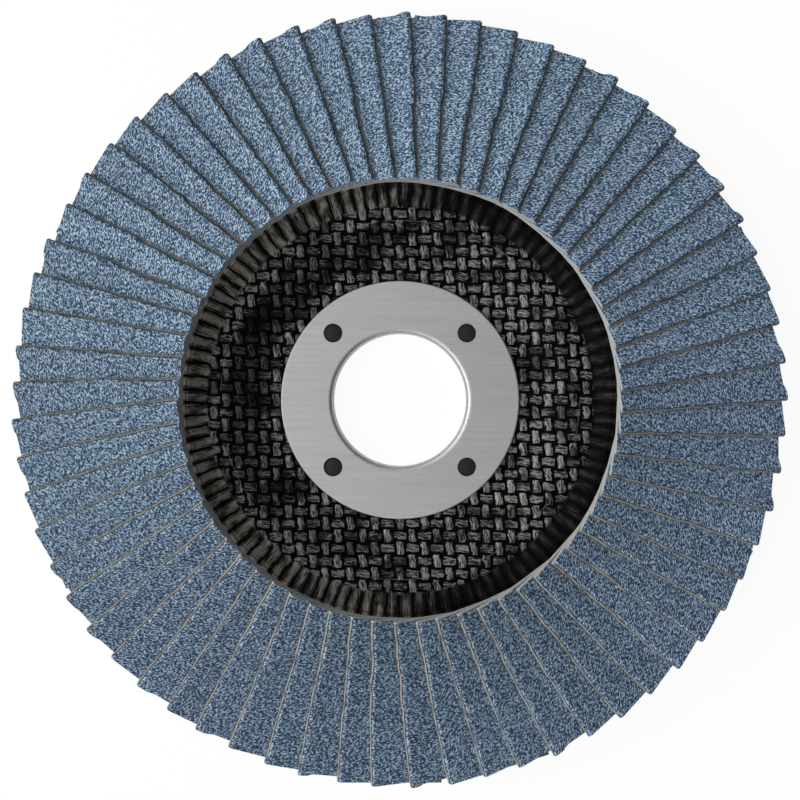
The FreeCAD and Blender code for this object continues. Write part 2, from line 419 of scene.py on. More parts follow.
@dataclass(frozen=True)
class WovenGlass:
    """Black resin over plain-woven glass cloth, with gathered threads on the wall."""

    pitch: float
    weave_start: float
    weave_end: float
    crease_radius: float
    rib_count: int
    resin: Colour = (0.0012, 0.0012, 0.0012)
    glass: Colour = (0.330, 0.326, 0.308)
    cross_glass: Colour = (0.290, 0.286, 0.268)
    gathered: Colour = (0.340, 0.324, 0.294)
    lengthwise: FloatSet = FloatSet(0.05, 0.20, (0.22, 0.33), (0.42, 0.62), (0.05, 1.25), 0.20, True)
    crosswise: FloatSet = FloatSet(0.03, 0.16, (0.24, 0.34), (0.44, 0.64), (0.04, 1.30), 0.22, False)
    crosswise_lean: Pair = (0.80, 0.45)
    float_bends: float = 5.0
    fibre_stretch: Triple = (15.0, 1.2, 1.8)
    fibre_roughness: float = 0.65
    wander_scale: float = 0.35
    wander: Pair = (0.45, 0.27)
    stray_scale: float = 1.4
    stray: float = 0.26
    own_numbers: Pair = (3.7, 1.9)
    inner_step: Pair = (-0.3, 0.2)
    outer_step: Pair = (-0.6, 0.2)
    cover_scale: float = 0.20
    cover_step: Pair = (0.36, 0.60)
    dish_start_step: Pair = (21.6, 23.4)
    dish_end_step: Pair = (28.2, 30.2)
    floor_start_step: Pair = (28.4, 30.0)
    dish_swing: Pair = (0.76, 0.35)
    hub_swing: Pair = (0.30, 0.40)
    floor_swing: Pair = (0.28, 0.42)
    rib_stretch: Triple = (9.0, 0.5, 4.0)
    rib_stray: float = 0.4
    hair_stretch: Triple = (190.0, 0.45, 1.0)
    hair_roughness: float = 0.7
    hem_stray: float = 0.8
    hem_step: Pair = (-0.5, 0.1)
    core_stray: float = 0.4
    core_step: Pair = (0.20, 0.42)
    core_level: Pair = (0.25, 0.75)
    patch_stretch: Triple = (14.0, 0.3, 9.0)
    patch_step: Pair = (0.34, 0.66)
    patch_level: Pair = (0.25, 1.5)
    slit_stray: float = 0.06
    slit_step: Pair = (0.05, 0.16)
    hair_step: Pair = (0.36, 0.66)
    hair_level: Pair = (0.10, 1.4)
    painted_wall_light: Triple = (0.40, 1.50, 0.05)
    crease_stray: float = 0.7
    crease_edge_step: Pair = (0.02, 0.11)
    crease_scale: float = 0.32
    crease_step: Pair = (0.44, 0.56)
    crease_share: float = 0.35
    hair_relief: float = 1.2
    skin_scale: float = 2.6
    skin_relief: float = 0.35
    depth: float = 0.07
    gloss_scale: float = 1.1
    roughness: Pair = (0.50, 0.16)
    gloss: float = 0.6
    gloss_roughness: float = 0.32
    specular: float = 0.04

    def material(self) -> bpy.types.Material:
        """Pale floats with fine fibres both ways, black resin between, a crease and gathered threads.

        Returns:
            The material, which reads Object coordinates alone.
        """
        material, g = new_graph("woven_glass")
        x, y, z = g.object_mm()
        plain = g.point(x, y, z)
        wander = g.noise(plain, self.wander_scale) - 0.5
        spot = Spot(x, y, plain, g.from_axis(x, y), g.math("ARCTAN2", y, x), wander)
        bright, dim, relief = self._floats(g, spot)
        colour = g.blend(g.math("MINIMUM", dim, 1.0), self.resin, self.cross_glass)
        colour = g.blend(g.math("MINIMUM", bright, 1.0), colour, self.glass)
        bundle, hairs = self._gathered(g, spot)
        colour = g.blend(bundle, colour, self.gathered)
        colour = g.blend(self._crease(g, spot) * self.crease_share, colour, self.glass)
        height = relief + hairs * self.hair_relief + g.noise(plain, self.skin_scale, 3.0) * self.skin_relief
        g.principled({
            "Base Color": colour,
            "Roughness": self.roughness[0] + g.noise(plain, self.gloss_scale, 3.0) * self.roughness[1],
            "Specular IOR Level": self.specular,
            "Coat Weight": g.math("MINIMUM", bright + dim, 1.0) * self.gloss,
            "Coat Roughness": self.gloss_roughness,
            "Normal": g.bump(height, self.depth),
        })
        return material

    def _floats(self, g: Graph, spot: Spot) -> tuple[Signal, Signal, Signal]:
        """Both sets of floats, on the squares of a checkerboard that has the weave's pitch.

        Args:
            g: the material's graph.
            spot: the point's place.

        Returns:
            Shares of the lengthwise and of the crosswise glass, and the relief of both.
        """
        u = (spot.x + spot.wander * self.wander[0]) / self.pitch
        v = (spot.y + spot.wander * self.wander[1]) / self.pitch
        column, row = g.math("ROUND", u), g.math("ROUND", v)
        du, dv = u - column, v - row
        odd = g.math("PINGPONG", column + row, 1.0)
        own = column * self.own_numbers[0] + row * self.own_numbers[1]
        inside = g.smooth(spot.radius, *(self.weave_start + edge for edge in self.inner_step))
        inside = inside * g.fade(spot.radius, *(self.weave_end + edge for edge in self.outer_step))
        cover = g.smooth(g.noise(spot.plain, self.cover_scale, 3.0), *self.cover_step)
        stray = (g.noise(spot.plain, self.stray_scale, 2.5) - 0.5) * self.stray
        side_light = self._painted_side_light(g, spot) * inside
        long_shape, long_fibres = self._float(g, self.lengthwise, du, dv, own, stray)
        cross_shape, cross_fibres = self._float(g, self.crosswise, dv, du, own, stray)
        long_shape, cross_shape = long_shape * (1.0 - odd), cross_shape * odd
        bright = side_light * long_shape * self._lit(g, self.lengthwise, long_fibres, cover)
        dim = side_light * cross_shape * self._lit(g, self.crosswise, cross_fibres, cover)
        dim = dim * (self.crosswise_lean[0] + du * self.crosswise_lean[1])
        return bright, dim, (long_fibres * long_shape + cross_fibres * cross_shape) * inside

    def _float(
        self, g: Graph, kind: FloatSet, across: Signal, along: Signal, own: Signal, stray: Signal,
    ) -> tuple[Signal, Signal]:
        """One float: a lens that narrows with the square of the distance along it, over noise drawn out long.

        Args:
            g: the material's graph.
            kind: the float's set.
            across: offset across the thread, in pitches.
            along: offset along the thread, in pitches.
            own: a number of the float's own, so that no two have the same fibres.
            stray: how far the outline strays, in pitches.

        Returns:
            The float's shape, from 0 to 1, and its fibres.
        """
        bent = across + g.math("SINE", along * self.float_bends) * kind.bend + stray
        shape = g.fade(abs(bent) + along * along * kind.narrowing, *kind.edge_step)
        often, slant, seldom = self.fibre_stretch
        fine = bent * often + along * slant
        run = along * seldom
        place = g.point(fine, run, own) if kind.fibre_first else g.point(run, fine, own)
        return shape, g.noise(place, 1.0, 2.0, self.fibre_roughness)

    def _lit(self, g: Graph, kind: FloatSet, fibres: Signal, cover: Signal) -> Signal:
        """How much glass shows through the resin, by the fibres and by how thinly the resin covers them."""
        return g.lifted(fibres, kind.fibre_step, kind.fibre_level) * (kind.cover_least + cover)

    def _painted_side_light(self, g: Graph, spot: Spot) -> Signal:
        """Painted light round the disc: the glass lifted on hub and floor and swung by a cosine in each of
        three rings.

        Args:
            g: the material's graph.
            spot: the point's place.

        Returns:
            A factor about 1.
        """
        rightwards = g.math("COSINE", spot.angle)
        dish = g.smooth(spot.radius, *self.dish_start_step) * g.fade(spot.radius, *self.dish_end_step)
        hub = g.fade(spot.radius, *self.dish_start_step)
        floor = g.smooth(spot.radius, *self.floor_start_step)
        # painted light: brighter on the right of the dish and hub, and on the left of the floor
        side_light = 1.0 + dish * self.dish_swing[0] * g.math("COSINE", spot.angle + self.dish_swing[1])
        side_light = side_light + hub * (self.hub_swing[0] + rightwards * self.hub_swing[1])
        return side_light + floor * (self.floor_swing[0] - rightwards * self.floor_swing[1])

    def _gathered(self, g: Graph, spot: Spot) -> tuple[Signal, Signal]:
        """Threads gathered into bundles on the wall, one to each rib of the plate, with dark slits between.

        A bundle is as far from a slit as the turn, the angle in ribs, is from a whole number.  Painted light
        makes the bundles brighter on the disc's left and dark on its right.

        Args:
            g: the material's graph.
            spot: the point's place.

        Returns:
            The share of gathered glass, and the relief of its hairs.
        """
        sway = g.math("SINE", spot.angle * RIB_SWAY_COUNT + RIB_SWAY_START) * RIB_SWAY
        stray = g.noise(self._round(g, spot, self.rib_stretch), 1.0) - 0.5
        turn = spot.angle * (self.rib_count / math.tau) + sway + stray * self.rib_stray
        offset = abs(turn - g.math("ROUND", turn))
        hair = g.noise(self._round(g, spot, self.hair_stretch), 1.0, 2.5, self.hair_roughness)
        loose = hair - 0.5
        hem = (self.weave_end + edge for edge in self.hem_step)
        on_wall = g.smooth(spot.radius + loose * self.hem_stray, *hem)
        core = g.lifted(offset + loose * self.core_stray, self.core_step, self.core_level)
        patches = g.noise(self._round(g, spot, self.patch_stretch), 1.0)
        core = core * g.lifted(patches, self.patch_step, self.patch_level)
        bundle = g.smooth(offset + loose * self.slit_stray, *self.slit_step) * core
        bundle = bundle * g.lifted(hair, self.hair_step, self.hair_level)
        # painted light: bundles brighter on the disc's left and dark on its right
        middle, swing, least = self.painted_wall_light
        wall_light_paint = g.math("MAXIMUM", middle - g.math("COSINE", spot.angle) * swing, least)
        return on_wall * bundle * wall_light_paint, on_wall * hair

    def _round(self, g: Graph, spot: Spot, stretch: Triple) -> Signal:
        """Place for noise that runs round the disc: stretched angle and radius, and a slice of its own."""
        return g.point(spot.angle * stretch[0], spot.radius * stretch[1], stretch[2])

    def _crease(self, g: Graph, spot: Spot) -> Signal:
        """A fine crease that comes and goes round the dish's edge."""
        stray = spot.wander * self.wander[0] * self.crease_stray
        line = g.fade(abs(spot.radius - self.crease_radius + stray), *self.crease_edge_step)
        return line * g.smooth(g.noise(spot.plain, self.crease_scale, 3.0), *self.crease_step)


@dataclass(frozen=True)
class Lines:
    """One kind of brush lines: noise stretched along X, and what it does to tone, gloss and relief."""

    stretch: Triple
    detail: float
    roughness: float
    tone_swing: float
    gloss_swing: float
    relief: float


@dataclass(frozen=True)
class BrushedMetal:
    """Plated steel brushed along X."""

    bore_radius: float
    colour: Colour = (0.860, 0.858, 0.845)
    tone: float = 0.84
    roughness: float = 0.32
    lines: tuple[Lines, ...] = (
        Lines((0.16, 9.0, 3.0), 3.0, 0.7, 0.30, 0.22, 1.0),
        Lines((0.05, 1.6, 1.0), 2.0, 0.5, 0.18, 0.0, 0.0),
        Lines((0.9, 16.0, 3.0), 2.0, 0.6, 0.14, 0.12, 0.6),
    )
    depth: float = 0.010
    speck: Colour = (0.06, 0.06, 0.055)
    speck_band: float = 0.7
    band_step: Pair = (0.05, 0.50)
    speck_scale: float = 3.2
    speck_step: Pair = (0.66, 0.72)
    speck_share: float = 0.75

    def material(self) -> bpy.types.Material:
        """Long fine lines along X in tone, gloss and relief, with specks round the bore's edge.

        Returns:
            The material.
        """
        material, g = new_graph("brushed_metal")
        x, y, z = g.object_mm()
        tone, rough, height = self.tone, self.roughness, 0.0
        for kind in self.lines:
            a, b, c = kind.stretch
            level = g.noise(g.point(x * a, y * b, z * c), 1.0, kind.detail, kind.roughness)
            tone = tone + (level - 0.5) * kind.tone_swing
            rough = rough + (level - 0.5) * kind.gloss_swing
            height = height + level * kind.relief
        at_edge = g.fade(abs(g.from_axis(x, y) - self.bore_radius - self.speck_band), *self.band_step)
        specks = g.smooth(g.noise(g.point(x, y, z), self.speck_scale), *self.speck_step) * at_edge
        g.principled({
            "Base Color": g.blend(specks * self.speck_share, g.toned(self.colour, tone), self.speck),
            "Metallic": 1.0,
            "Roughness": rough,
            "Normal": g.bump(height, self.depth),
        })
        return material


@dataclass(frozen=True)
class PegResin:
    """Dark resin that rose into the ring's holes."""

    colour: Colour = (0.005, 0.005, 0.0047)
    mottle_scale: float = 1.5
    tone: Pair = (0.75, 0.5)
    skin_scale: float = 5.0
    skin_roughness: float = 0.6
    roughness: float = 0.50
    roughness_swing: float = 0.2
    relief: float = 0.03

    def material(self) -> bpy.types.Material:
        """Slightly mottled resin with a fine uneven skin.

        Returns:
            The material.
        """
        material, g = new_graph("peg_resin")
        place = g.point(*g.object_mm())
        tone = self.tone[0] + g.noise(place, self.mottle_scale, 3.0) * self.tone[1]
        skin = g.noise(place, self.skin_scale, 3.0, self.skin_roughness)
        g.principled({
            "Base Color": g.toned(self.colour, tone),
            "Roughness": self.roughness + (skin - 0.5) * self.roughness_swing,
            "Normal": g.bump(skin, self.relief),
        })
        return material


@dataclass
class Skin:
    """A mesh before it is written: points in millimetres, quads, and what they carry."""

    points: np.ndarray
    quads: np.ndarray
    finish: np.ndarray
    carried: dict[str, np.ndarray]

    @staticmethod
    def ring(x: np.ndarray, y: np.ndarray, z: np.ndarray, finish: int = 0, flipped: bool = False) -> "Skin":
        """Skin of a grid whose rows and columns both close on themselves.

        Args:
            x: X of the grid's points.
            y: Y of the grid's points.
            z: Z of the grid's points.
            finish: number of the material.
            flipped: whether the quads go round the other way, so that they face outwards.

        Returns:
            The skin.
        """
        points = np.stack((x, y, z), axis=-1).reshape(-1, 3)
        quads = ring_quads(*x.shape)
        return Skin(points, quads[:, ::-1] if flipped else quads, np.full(len(quads), finish), {})

    @staticmethod
    def joined(skins: Sequence["Skin"]) -> "Skin":
        """Several skins as one, with their quads renumbered.

        Args:
            skins: skins that carry the same values.

        Returns:
            The skin of them all.
        """
        starts = np.cumsum([0] + [len(skin.points) for skin in skins[:-1]])
        names = sorted(skins[0].carried)
        return Skin(
            np.concatenate([skin.points for skin in skins]),
            np.concatenate([skin.quads + start for skin, start in zip(skins, starts)]),
            np.concatenate([skin.finish for skin in skins]),
            {name: np.concatenate([skin.carried[name] for skin in skins]) for name in names},
        )

    def piece(
        self, name: str, materials: Sequence[bpy.types.Material], sharp_degrees: float,
    ) -> bpy.types.Object:
        """Writes the skin into a new object at the origin.

        Args:
            name: the piece's name.
            materials: its materials, in the order that finish counts them.
            sharp_degrees: edges that turn by more than this are kept sharp.

        Returns:
            The object, smooth shaded.
        """
        mesh = bpy.data.meshes.new(name)
        mesh.vertices.add(len(self.points))
        mesh.vertices.foreach_set("co", (self.points * MM).astype(np.float32).ravel())
        mesh.loops.add(self.quads.size)
        mesh.loops.foreach_set("vertex_index", self.quads.astype(np.int32).ravel())
        mesh.polygons.add(len(self.quads))
        mesh.polygons.foreach_set("loop_start", np.arange(0, self.quads.size, 4, dtype=np.int32))
        mesh.polygons.foreach_set("material_index", self.finish.astype(np.int32))
        mesh.update(calc_edges=True)
        mesh.polygons.foreach_set("use_smooth", np.ones(len(self.quads), dtype=bool))
        for material in materials:
            mesh.materials.append(material)
        for key, values in self.carried.items():
            kind, field_name = ("FLOAT_VECTOR", "vector") if values.ndim == 2 else ("FLOAT", "value")
            attribute = mesh.attributes.new(key, kind, "POINT")
            attribute.data.foreach_set(field_name, values.astype(np.float32).ravel())
        mesh.set_sharp_from_angle(angle=math.radians(sharp_degrees))
        mesh.validate()
        piece = bpy.data.objects.new(name, mesh)
        bpy.context.scene.collection.objects.link(piece)
        return piece


def ring_quads(rows: int, columns: int) -> np.ndarray:
    """Quads of a grid whose rows and columns both close on themselves, as on a ring.

    Args:
        rows: points round the section.
        columns: sections round the axis.

    Returns:
        Four point numbers in each row; the points are counted along the grid's rows.
    """
    row, column = np.meshgrid(np.arange(rows), np.arange(columns), indexing="ij")
    next_row, next_column = (row + 1) % rows, (column + 1) % columns
    corners = (row * columns + column, row * columns + next_column,
               next_row * columns + next_column, next_row * columns + column)
    return np.stack(corners, axis=-1).reshape(-1, 4)


def revolved(
    outline: np.ndarray, turns: int, backwards: bool = False, centre: Pair = (0.0, 0.0),
) -> tuple[np.ndarray, np.ndarray, np.ndarray]:
    """Grid of an outline turned about an upright axis.

    A point is (r cos a, r sin a, z) from the axis, for each point (r, z) of the outline and each angle a, and
    the angles are evenly spaced.

    Args:
        outline: (radius, height) of each point.
        turns: how many angles.
        backwards: whether the angles run clockwise.
        centre: X and Y of the axis.

    Returns:
        X, Y and Z of the grid, one row for each point of the outline.
    """
    angles = np.arange(turns) * 2 * np.pi / turns
    radius, angle = np.meshgrid(outline[:, 0], -angles if backwards else angles, indexing="ij")
    z = np.repeat(outline[:, 1][:, None], turns, axis=1)
    return radius * np.cos(angle) + centre[0], radius * np.sin(angle) + centre[1], z


def rotated(x: np.ndarray, y: np.ndarray, angle: float) -> tuple[np.ndarray, np.ndarray]:
    """X and Y turned about the origin."""
    return x * math.cos(angle) - y * math.sin(angle), x * math.sin(angle) + y * math.cos(angle)


def hole_centre(index: int, count: int, circle: float) -> Pair:
    """X and Y of one of the ring's holes, which start at 45 degrees."""
    turn = math.radians(FIRST_HOLE_DEGREES + 360 * index / count)
    return circle * math.cos(turn), circle * math.sin(turn)


def ramp(value: np.ndarray, start: float, length: float) -> np.ndarray:
    """Straight rise from 0 at the start to 1 a length further on."""
    return np.clip((value - start) / length, 0, 1)


def bell(value: np.ndarray, width: float) -> np.ndarray:
    """Bell curve, which is e to the minus square of the value over its width."""
    return np.exp(-(value / width) ** 2)


def rounded_outline(corners: Sequence[Triple], arc_steps: int) -> np.ndarray:
    """Closed outline with its corners rounded.

    Each corner is replaced by the arc that touches both its sides, which is a circle's centre plus the radius
    times a direction that turns evenly from one touching point to the other.

    Args:
        corners: (radius, height, rounding) of each corner.
        arc_steps: flats in each arc.

    Returns:
        The outline's points, one per row.
    """
    points = np.array([corner[:2] for corner in corners], dtype=float)
    outline = []
    for index, (_, _, rounding) in enumerate(corners):
        here, before, after = points[index], points[index - 1], points[(index + 1) % len(points)]
        if rounding == 0:
            outline.append(here[None])
            continue
        back = (before - here) / np.linalg.norm(before - here)
        on = (after - here) / np.linalg.norm(after - here)
        half = math.acos(float(np.clip(back @ on, -1, 1))) / 2
        middle = here + (back + on) / np.linalg.norm(back + on) * rounding / math.sin(half)
        start = here + back * rounding / math.tan(half) - middle
        end = here + on * rounding / math.tan(half) - middle
        turn = math.acos(float(np.clip(start @ end / rounding ** 2, -1, 1)))
        share = np.linspace(0, 1, arc_steps + 1)[:, None]
        arc = (start * np.sin((1 - share) * turn) + end * np.sin(share * turn)) / math.sin(turn)
        outline.append(middle + arc)
    return np.concatenate(outline)


def divided(outline: np.ndarray, longest: np.ndarray) -> np.ndarray:
    """Outline with each side divided evenly so that no part is longer than its limit.

    Args:
        outline: the points of a closed outline.
        longest: the limit for the side after each point.

    Returns:
        The points of the divided outline.
    """
    parts = []
    for start, end, limit in zip(outline, np.roll(outline, -1, axis=0), longest):
        count = max(1, math.ceil(float(np.linalg.norm(end - start)) / float(limit)))
        parts.append(start + (end - start) * (np.arange(count) / count)[:, None])
    return np.concatenate(parts)


@dataclass(frozen=True)
class PlainWeave:
    """Height of plain-woven cloth with a resin skin, over the X and Y directions of its threads."""

    pitch: float = 2.06
    lengthwise_width: float = 1.15
    crosswise_width: float = 1.30
    wave: float = 0.07
    bulge: float = 0.24
    resin_level: float = -0.06

    def height(self, x: np.ndarray, y: np.ndarray) -> np.ndarray:
        """Height at each place.

        A thread rises and falls as a cosine along its run, against its neighbour, and its back is half an
        ellipse.  The cloth is the higher of the two threads, and resin fills what lies below its level.

        Args:
            x: X of each place.
            y: Y of each place.

        Returns:
            The heights.
        """
        u, v = x / self.pitch, y / self.pitch
        column, row = np.round(u), np.round(v)
        lengthwise = self._thread(u - column, self.lengthwise_width)
        lengthwise = lengthwise + self.wave * np.cos(np.pi * (v - column))
        crosswise = self._thread(v - row, self.crosswise_width)
        crosswise = crosswise - self.wave * np.cos(np.pi * (u - row))
        return np.maximum(np.maximum(lengthwise, crosswise), self.resin_level)

    def _thread(self, offset: np.ndarray, width: float) -> np.ndarray:
        """Half ellipse of a thread's back, by the offset from its middle in pitches."""
        share = np.abs(offset) * self.pitch / (width / 2)
        return np.where(share < 1, self.bulge * (np.sqrt(np.clip(1 - share ** 2, 0, 1)) - 0.5), -1.0)


@dataclass
class BackingPlate:
    """Moulded plate of woven glass and resin, with four pegs that fill the ring's holes."""

    hub_thickness: float = 3.0
    hub_flat_radius: float = 22.4
    dish_radius: float = 29.0
    floor_height: float = 4.5
    floor_radius: float = 32.6
    flange_height: float = 6.1
    flange_inner_radius: float = 34.9
    flange_radius: float = 57.0
    floor_thickness: float = 2.5
    flange_thickness: float = 2.4
    back_step: float = 1.3
    bore: float = 11.835
    lip_recess: float = 13.335
    lip_seat: float = 0.8
    ring_radius: float = 19.9
    under_ring: float = 0.3
    dish_rounding: float = 3.0
    wall_foot_rounding: float = 0.6
    wall_top_rounding: float = 0.3
    rim_rounding: float = 0.5
    back_rounding: float = 0.5
    back_dish_rounding: float = 2.0
    crease_radius: float = 29.8
    crease_height: float = 0.06
    crease_width: float = 0.12
    rib_count: int = 104
    rib_depth: float = 0.12
    slit_width: float = 0.13
    weave_margin: float = 0.3
    weave_rise: Pair = (0.05, 0.5)
    weave_fall: float = 0.8
    wall_rise: Pair = (-0.6, 0.5)
    wall_fall: Pair = (0.2, 0.2)
    fine_reach: Pair = (-0.35, 0.6)
    front_slack: float = 0.1
    peg_radius: float = 1.46
    peg_height: float = 0.42
    peg_rounding: float = 0.25
    peg_crown: float = 0.06
    peg_foot: float = 0.4
    peg_pole: float = 0.02
    peg_circle: float = 15.8
    peg_count: int = 4
    peg_turns: int = 48
    peg_arc_steps: int = 6
    arc_steps: int = 3
    turns: int = 720
    weave_step: float = 0.215
    plain_step: float = 6.0
    weave: PlainWeave = PlainWeave()

    def front(self, heights: np.ndarray) -> np.ndarray:
        """Which heights of the section belong to its front face."""
        return heights > self.hub_thickness - self.front_slack

    def outline(self) -> np.ndarray:
        """Section of the plate, divided finely where the weave shows.

        Returns:
            (radius, height) of each point, from the bore outwards on the front and back on the back.
        """
        flange_back = self.flange_height - self.flange_thickness
        floor_back = self.floor_height - self.floor_thickness
        corners = [
            (self.bore, self.hub_thickness, 0),
            (self.ring_radius - self.under_ring, self.hub_thickness, 0),
            (self.hub_flat_radius, self.hub_thickness, self.dish_rounding),
            (self.dish_radius, self.floor_height, self.dish_rounding),
            (self.floor_radius, self.floor_height, self.wall_foot_rounding),
            (self.flange_inner_radius, self.flange_height, self.wall_top_rounding),
            (self.flange_radius, self.flange_height, self.rim_rounding),
            (self.flange_radius, flange_back, self.rim_rounding),
            (self.flange_inner_radius + self.back_step, flange_back, self.back_rounding),
            (self.floor_radius + self.back_step, floor_back, self.back_rounding),
            (self.dish_radius + self.back_step, floor_back, self.back_dish_rounding),
            (self.hub_flat_radius + self.back_step, 0, self.back_dish_rounding),
            (self.lip_recess, 0, 0),
            (self.lip_recess, self.lip_seat, 0),
            (self.bore, self.lip_seat, 0),
        ]
        outline = rounded_outline(corners, self.arc_steps)
        radius, height = ((outline + np.roll(outline, -1, axis=0)) / 2).T
        inner = self.ring_radius + self.fine_reach[0]
        outer = self.flange_inner_radius + self.fine_reach[1]
        woven = (radius > inner) & (radius < outer) & self.front(height)
        return divided(outline, np.where(woven, self.weave_step, self.plain_step))

    def body(self) -> Skin:
        """The section turned about Z, with the relief added to the height of its front face.

        Returns:
            The plate's skin.
        """
        outline = self.outline()
        x, y, z = revolved(outline, self.turns, backwards=True)
        return Skin.ring(x, y, z + self.relief(x, y) * self.front(outline[:, 1])[:, None])

    def relief(self, x: np.ndarray, y: np.ndarray) -> np.ndarray:
        """Weave on the dish and its floor, a crease, and gathered threads on the wall with slits between.

        The weave and the wall fade in and out on straight ramps, and crease and slits are bell curves: one
        over the distance from the axis, the other over how far the angle in ribs is from a whole number.

        Args:
            x: X of each place.
            y: Y of each place.

        Returns:
            What is added to the heights.
        """
        radius = np.hypot(x, y)
        weave_end = self.floor_radius - self.weave_margin
        start = ramp(radius, self.ring_radius + self.weave_rise[0], self.weave_rise[1])
        end = 1 - ramp(radius, weave_end - self.weave_fall, self.weave_fall)
        woven = self.weave.height(x, y) * start * end
        crease = self.crease_height * bell(radius - self.crease_radius, self.crease_width)
        on_wall = ramp(radius, self.floor_radius + self.wall_rise[0], self.wall_rise[1])
        top = self.flange_inner_radius + self.wall_fall[0]
        on_wall = on_wall * (1 - ramp(radius, top, self.wall_fall[1]))
        angle = np.arctan2(y, x)
        turn = angle * self.rib_count / (2 * np.pi)
        turn = turn + RIB_SWAY * np.sin(angle * RIB_SWAY_COUNT + RIB_SWAY_START)
        slit = bell(turn - np.round(turn), self.slit_width)
        return woven + crease * start - on_wall * self.rib_depth * slit

    def peg(self, index: int) -> Skin:
        """One low domed peg, a section turned about its own axis with its poles closed by a tiny ring.

        Args:
            index: which of the pegs, from 0.

        Returns:
            The peg's skin, with the second finish.
        """
        foot = self.hub_thickness - self.peg_foot
        top = self.hub_thickness + self.peg_height
        outline = rounded_outline([
            (self.peg_pole, foot, 0),
            (self.peg_radius, foot, 0),
            (self.peg_radius, top, self.peg_rounding),
            (self.peg_pole, top + self.peg_crown, 0),
        ], self.peg_arc_steps)
        centre = hole_centre(index, self.peg_count, self.peg_circle)
        return Skin.ring(*revolved(outline, self.peg_turns, True, centre), finish=1)

    def glass(self) -> WovenGlass:
        """The finish whose weave, crease and gathered threads lie on this plate's own."""
        weave_end = self.floor_radius - self.weave_margin
        return WovenGlass(self.weave.pitch, self.ring_radius, weave_end, self.crease_radius, self.rib_count)

    def build(self) -> None:
        """Makes the plate and dresses it."""
        resin = PegResin().material()
        skin = Skin.joined([self.body()] + [self.peg(index) for index in range(self.peg_count)])
        piece = skin.piece("woven_plate", [self.glass().material(), resin], SHARP_DEGREES)
        place(piece, Slot.PLATE, "backing_plate")


@dataclass
class CentreRing:
    """Pressed ring with four holes, a collar through the hub and a lip on the back."""

    bore_radius: float = 11.115
    sheet: float = 0.7
    ring_radius: float = 19.9
    ring_face: float = 3.7
    seat: float = 3.0
    bend: float = 0.85
    edge_rounding: float = 0.22
    foot_rounding: float = 0.12
    lip_setback: float = 0.1
    lip_seat: float = 0.8
    lip_width: float = 1.5
    lip_roundings: Pair = (0.15, 0.1)
    support: float = 0.06
    hole_radius: float = 1.5
    hole_ease: float = 0.10
    hole_circle: float = 15.8
    hole_count: int = 4
    drill_reach: float = 1.0
    drill_gap: float = 0.001
    drill_turns: int = 64
    arc_steps: int = 8
    turns: int = 320

    def outline(self) -> np.ndarray:
        """Section of the ring, with round bends at both ends of the bore.

        Two supporting points keep the face flat between its bend and its outer edge.

        Returns:
            (radius, height) of each point.
        """
        collar = self.bore_radius + self.sheet
        lip = collar + self.lip_width
        corners = [
            (self.bore_radius, self.lip_setback, self.bend),
            (lip, self.lip_setback, self.lip_roundings[0]),
            (lip, self.lip_seat, self.lip_roundings[1]),
            (collar, self.lip_seat, 0),
            (collar, self.seat, 0),
            (self.ring_radius, self.seat, self.foot_rounding),
            (self.ring_radius, self.ring_face, self.edge_rounding),
            (self.bore_radius, self.ring_face, self.bend),
        ]
        outline = rounded_outline(corners, self.arc_steps)
        flat_start = self.bore_radius + self.bend + self.support
        flat_end = self.ring_radius - self.edge_rounding - self.support
        on_face = (outline[:, 1] > self.ring_face - 1e-6) & (outline[:, 0] > flat_end)
        after = int(np.argmax(on_face)) + 1
        supports = np.array([(flat_end, self.ring_face), (flat_start, self.ring_face)])
        return np.concatenate((outline[:after], supports, outline[after:]))

    def drill(self, index: int) -> bpy.types.Object:
        """One round cutter with a wider head, for a hole and its eased rim.

        Args:
            index: which of the holes, from 0.

        Returns:
            The cutter, closed by a flat end below and above.
        """
        turns = self.drill_turns
        head = self.hole_radius + self.hole_ease
        outline = np.array([
            (self.hole_radius, self.seat - self.drill_reach),
            (self.hole_radius, self.ring_face - self.hole_ease),
            (head, self.ring_face + self.drill_gap),
            (head, self.ring_face + self.drill_reach),
        ])
        centre = hole_centre(index, self.hole_count, self.hole_circle)
        points = np.stack(revolved(outline, turns, centre=centre), axis=-1).reshape(-1, 3) * MM
        last = len(outline) - 1
        sides = ring_quads(len(outline), turns)[:last * turns]
        ends = [list(range(turns))[::-1], list(range(last * turns, (last + 1) * turns))]
        mesh = bpy.data.meshes.new("ring_drill")
        mesh.from_pydata(points.tolist(), [], sides.tolist() + ends)
        drill = bpy.data.objects.new("ring_drill", mesh)
        bpy.context.scene.collection.objects.link(drill)
        return drill

    def build(self) -> None:
        """Makes the ring, cuts its holes and dresses it."""
        metal = BrushedMetal(self.bore_radius).material()
        body = Skin.ring(*revolved(self.outline(), self.turns), flipped=True)
        piece = body.piece("pressed_ring", [metal], SHARP_DEGREES)
        drills = [self.drill(index) for index in range(self.hole_count)]
        for drill in drills:
            cut = piece.modifiers.new("hole", "BOOLEAN")
            cut.object = drill
            cut.operation = "DIFFERENCE"
            cut.solver = "EXACT"
        now = piece.evaluated_get(bpy.context.evaluated_depsgraph_get())
        drilled = bpy.data.meshes.new_from_object(now)
        piece.modifiers.clear()
        piece.data = drilled
        drilled.set_sharp_from_angle(angle=math.radians(SHARP_DEGREES))
        for drill in drills:
            bpy.data.objects.remove(drill)
        place(piece, Slot.RING, "centre_ring")


